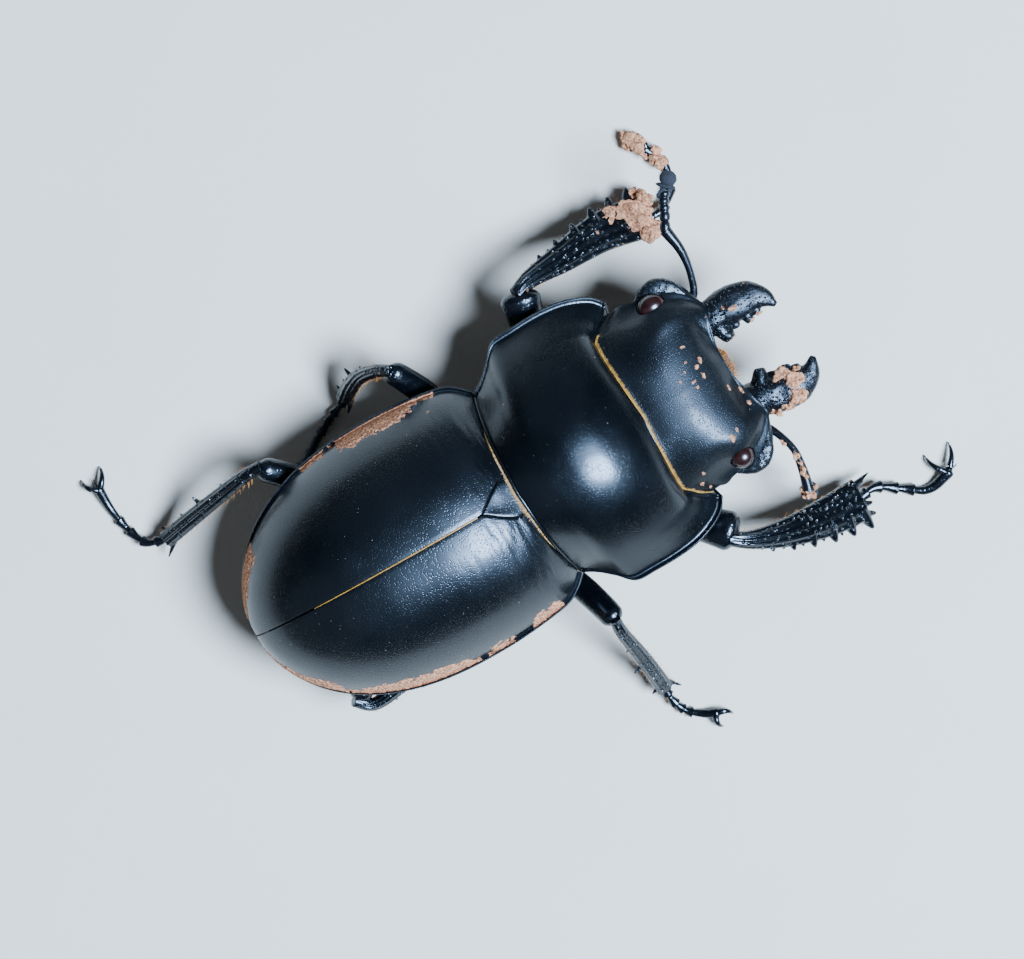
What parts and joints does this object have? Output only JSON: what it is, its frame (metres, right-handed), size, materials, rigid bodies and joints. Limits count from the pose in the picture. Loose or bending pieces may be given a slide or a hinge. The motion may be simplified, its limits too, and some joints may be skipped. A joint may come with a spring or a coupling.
{
  "type": "black stag beetle, life-size still model",
  "caption": "Life-size standing black stag beetle: domed wing cases, broad pronotum, wide head with short toothed mandibles, elbowed antennae and toothed legs.",
  "frame": {"origin": "centre of the beetle's box in plan, on the floor its feet stand on", "axes": "head toward -Y, the beetle's left toward +X, back up toward +Z"},
  "size_m": [0.0354, 0.0488, 0.0122],
  "materials": {
    "wing_case": "satin-gloss black chitin with fine punctures",
    "pronotum_shield": "glossy black chitin with fine punctures",
    "head_shell": "satin black chitin, coarser punctures at the sides",
    "mandible_horn": "glossy, coarsely pitted black chitin with dried mud",
    "eye": "dark red-brown, glass-smooth",
    "antenna": "black, the club velvety grey",
    "mouthparts": "dark brown with golden bristles",
    "underside": "black chitin, coarsely punctured",
    "leg": "glossy black, ridged, with rows of pits and brown bristles"
  },
  "bodies": {
    "root": {"abdomen": "underside", "antenna_left_scape": "antenna", "antenna_left_whip": "antenna", "antenna_right_scape": "antenna", "antenna_right_whip": "antenna", "elytron_left": "wing_case", "elytron_right": "wing_case", "eye_left_lower": "eye", "eye_left_upper": "eye", "eye_right_lower": "eye", "eye_right_upper": "eye", "front_left_coxa": "leg", "front_left_femur": "leg", "front_left_tarsus": "leg", "front_left_tibia": "leg", "front_right_coxa": "leg", "front_right_femur": "leg", "front_right_tarsus": "leg", "front_right_tibia": "leg", "head": "head_shell", "hind_left_coxa": "leg", "hind_left_femur": "leg", "hind_left_tarsus": "leg", "hind_left_tibia": "leg", "hind_right_coxa": "leg", "hind_right_femur": "leg", "hind_right_tarsus": "leg", "hind_right_tibia": "leg", "labrum": "mouthparts", "mandible_left": "mandible_horn", "mandible_right": "mandible_horn", "mentum": "underside", "mid_left_coxa": "leg", "mid_left_femur": "leg", "mid_left_tarsus": "leg", "mid_left_tibia": "leg", "mid_right_coxa": "leg", "mid_right_femur": "leg", "mid_right_tarsus": "leg", "mid_right_tibia": "leg", "palp_left": "mouthparts", "palp_right": "mouthparts", "pronotum": "pronotum_shield", "prosternum": "underside", "scutellum": "wing_case", "thorax_underside": "underside"}
  },
  "joints": []
}
